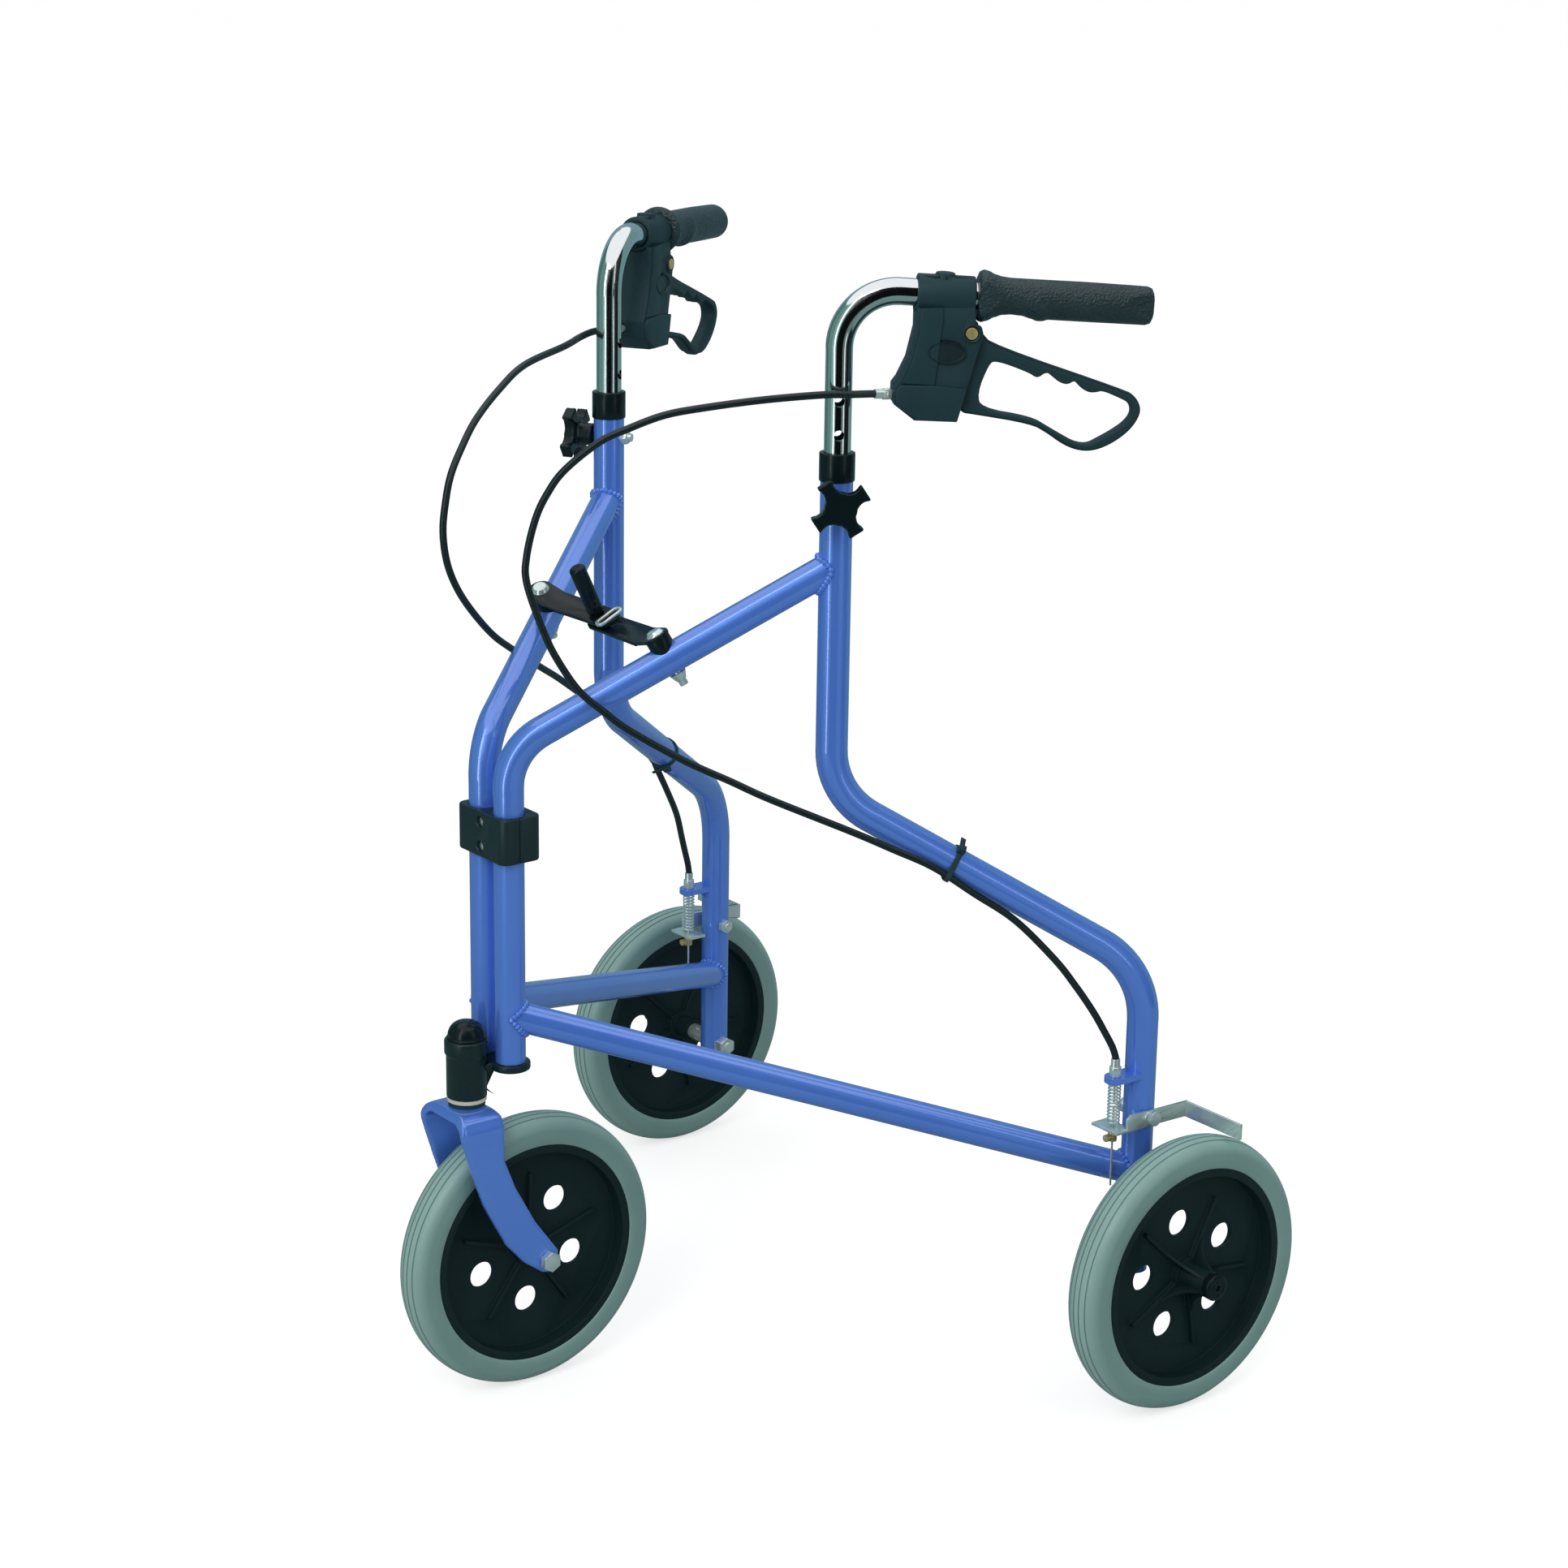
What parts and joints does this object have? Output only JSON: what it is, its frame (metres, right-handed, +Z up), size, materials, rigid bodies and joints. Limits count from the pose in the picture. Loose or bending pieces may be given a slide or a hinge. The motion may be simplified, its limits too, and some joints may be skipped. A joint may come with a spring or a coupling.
{
  "type": "three wheel rollator",
  "caption": "Folding rollator walking aid with blue tube frames, height-adjustable handles, loop brakes, a folding brace and a swivel front wheel.",
  "frame": {"origin": "on the floor, midway across the track and midway between the front and the rear axles", "axes": "+Z up, -Y the way it rolls forward, +X to the user's left"},
  "size_m": [0.6728, 0.5502, 0.7951],
  "materials": {
    "blue_paint": "glossy blue powder coat with a violet cast",
    "black_paint": "satin black powder coat",
    "chrome": "bright chrome plate",
    "zinc": "bright zinc plated steel",
    "brass": "plain brass",
    "black_plastic": "moulded plastic with a fine grain",
    "hub_plastic": "moulded nylon",
    "grip_rubber": "moulded soft vinyl",
    "tyre": "grey non marking rubber",
    "white_plastic": "off-white nylon",
    "cable_jacket": "smooth black jacket"
  },
  "bodies": {
    "steering_head": {"hinge_block_front": "black_plastic", "hinge_block_rear": "black_plastic", "hinge_block_screws": "zinc", "head_bracket": "black_paint", "head_sleeve": "black_paint", "head_cap": "black_plastic", "head_washer": "white_plastic", "head_bushes": "black_plastic"},
    "steering_fork": {"fork": "blue_paint", "fork_stem": "zinc", "front_axle": "zinc"},
    "front_wheel": {"front_tyre": "tyre", "front_hub": "hub_plastic", "front_bushes": "white_plastic"},
    "left_frame": {"front_tube_left": "blue_paint", "rear_tube_left": "blue_paint", "lower_tube_left": "blue_paint", "frame_fasteners_left": "zinc", "collar_left": "black_plastic", "cable_stop_left": "zinc", "brake_spring_left": "zinc", "brake_cable_left": "cable_jacket", "brace_post_left": "zinc"},
    "left_wheel": {"tyre_left": "tyre", "hub_left": "hub_plastic", "bushes_left": "white_plastic"},
    "left_handle": {"handle_tube_left": "chrome", "grip_left": "grip_rubber", "brake_housing_left": "black_plastic", "cable_adjuster_left": "zinc"},
    "left_knob": {"clamp_knob_left": "black_plastic"},
    "left_lever_pivot": {"lever_pivot_left": "brass"},
    "left_lever": {"brake_lever_left": "black_plastic"},
    "left_arm_bolt": {"arm_bolt_left": "zinc"},
    "left_brake_arm": {"brake_arm_left": "zinc"},
    "right_frame": {"front_tube_right": "blue_paint", "rear_tube_right": "blue_paint", "lower_tube_right": "blue_paint", "frame_fasteners_right": "zinc", "collar_right": "black_plastic", "cable_stop_right": "zinc", "brake_spring_right": "zinc", "brake_cable_right": "cable_jacket", "brace_post_right": "zinc"},
    "right_wheel": {"tyre_right": "tyre", "hub_right": "hub_plastic", "bushes_right": "white_plastic"},
    "right_handle": {"handle_tube_right": "chrome", "grip_right": "grip_rubber", "brake_housing_right": "black_plastic", "cable_adjuster_right": "zinc"},
    "right_knob": {"clamp_knob_right": "black_plastic"},
    "right_lever_pivot": {"lever_pivot_right": "brass"},
    "right_lever": {"brake_lever_right": "black_plastic"},
    "right_arm_bolt": {"arm_bolt_right": "zinc"},
    "right_brake_arm": {"brake_arm_right": "zinc"},
    "left_link": {"brace_link_left": "black_paint"},
    "right_link": {"brace_link_right": "black_paint", "brace_handle": "black_plastic", "brace_clip": "chrome"}
  },
  "joints": [
    {"name": "fold_left", "type": "hinge", "parent": "steering_head", "child": "left_frame", "pos_m": [0.0152, -0.1964, 0.4], "axis": [0, 0, 1], "range_deg": [0, 27]},
    {"name": "fold_right", "type": "hinge", "parent": "steering_head", "child": "right_frame", "pos_m": [-0.0152, -0.1964, 0.4], "axis": [0, 0, -1], "range_deg": [0, 27]},
    {"name": "fork_swivel", "type": "hinge", "parent": "steering_head", "child": "steering_fork", "pos_m": [0, -0.2227, 0.24], "axis": [0, 0, 1], "continuous": true},
    {"name": "front_wheel_spin", "type": "hinge", "parent": "steering_fork", "child": "front_wheel", "pos_m": [0, -0.1751, 0.1], "axis": [1, 0, 0], "continuous": true},
    {"name": "left_wheel_spin", "type": "hinge", "parent": "left_frame", "child": "left_wheel", "pos_m": [0.30236, 0.1751, 0.1], "axis": [1, 0, 0], "continuous": true},
    {"name": "left_handle_height", "type": "slide", "parent": "left_frame", "child": "left_handle", "axis": [0, 0, 1], "range_m": [-0.0675, 0.09], "deforming": ["brake_cable_left"]},
    {"name": "left_knob_turn", "type": "hinge", "parent": "left_frame", "child": "left_knob", "pos_m": [0.13201, -0.01234, 0.6425], "axis": [0.8443, -0.5358, 0], "continuous": true},
    {"name": "left_lever_park", "type": "hinge", "parent": "left_handle", "child": "left_lever_pivot", "pos_m": [0.17773, 0.05971, 0.75554], "axis": [0.8443, -0.5358, 0], "range_deg": [-18, 0]},
    {"name": "left_lever_squeeze", "type": "hinge", "parent": "left_lever_pivot", "child": "left_lever", "pos_m": [0.17773, 0.05971, 0.75554], "axis": [0.8443, -0.5358, 0], "range_deg": [0, 15], "stiffness_Nm_per_rad": 0.8, "springref_deg": -11.46},
    {"name": "left_arm_park", "type": "hinge", "parent": "left_frame", "child": "left_arm_bolt", "pos_m": [0.26356, 0.1751, 0.203], "axis": [-1, 0, 0], "range_deg": [0, 3], "deforming": ["brake_spring_left"]},
    {"name": "left_arm_squeeze", "type": "hinge", "parent": "left_arm_bolt", "child": "left_brake_arm", "pos_m": [0.26356, 0.1751, 0.203], "axis": [-1, 0, 0], "range_deg": [0, 3], "deforming": ["brake_spring_left"]},
    {"name": "right_wheel_spin", "type": "hinge", "parent": "right_frame", "child": "right_wheel", "pos_m": [-0.30236, 0.1751, 0.1], "axis": [1, 0, 0], "continuous": true},
    {"name": "right_handle_height", "type": "slide", "parent": "right_frame", "child": "right_handle", "axis": [0, 0, 1], "range_m": [-0.0675, 0.09], "deforming": ["brake_cable_right"]},
    {"name": "right_knob_turn", "type": "hinge", "parent": "right_frame", "child": "right_knob", "pos_m": [-0.13201, -0.01234, 0.6425], "axis": [-0.8443, -0.5358, 0], "continuous": true},
    {"name": "right_lever_park", "type": "hinge", "parent": "right_handle", "child": "right_lever_pivot", "pos_m": [-0.17773, 0.05971, 0.75554], "axis": [0.8443, 0.5358, 0], "range_deg": [-18, 0]},
    {"name": "right_lever_squeeze", "type": "hinge", "parent": "right_lever_pivot", "child": "right_lever", "pos_m": [-0.17773, 0.05971, 0.75554], "axis": [0.8443, 0.5358, 0], "range_deg": [0, 15], "stiffness_Nm_per_rad": 0.8, "springref_deg": -11.46},
    {"name": "right_arm_park", "type": "hinge", "parent": "right_frame", "child": "right_arm_bolt", "pos_m": [-0.26356, 0.1751, 0.203], "axis": [-1, 0, 0], "range_deg": [0, 3], "deforming": ["brake_spring_right"]},
    {"name": "right_arm_squeeze", "type": "hinge", "parent": "right_arm_bolt", "child": "right_brake_arm", "pos_m": [-0.26356, 0.1751, 0.203], "axis": [-1, 0, 0], "range_deg": [0, 3], "deforming": ["brake_spring_right"]},
    {"name": "left_link_turn", "type": "hinge", "parent": "left_frame", "child": "left_link", "pos_m": [0.06858, -0.1123, 0.54933], "axis": [0.2691, 0.424, -0.8648], "range_deg": [0, 93.33]},
    {"name": "right_link_turn", "type": "hinge", "parent": "right_frame", "child": "right_link", "pos_m": [-0.06718, -0.1145, 0.55383], "axis": [0.2691, -0.424, 0.8648], "range_deg": [0, 93.1]}
  ],
  "couplings": [
    {"joint": "fold_right", "follows": "fold_left", "ratio": 1},
    {"joint": "left_arm_park", "follows": "left_lever_park", "ratio": -0.1667},
    {"joint": "left_arm_squeeze", "follows": "left_lever_squeeze", "ratio": 0.2},
    {"joint": "right_arm_park", "follows": "right_lever_park", "ratio": -0.1667},
    {"joint": "right_arm_squeeze", "follows": "right_lever_squeeze", "ratio": 0.2},
    {"joint": "left_link_turn", "follows": "fold_left", "ratio": 3.4529},
    {"joint": "right_link_turn", "follows": "fold_left", "ratio": 3.4443}
  ]
}
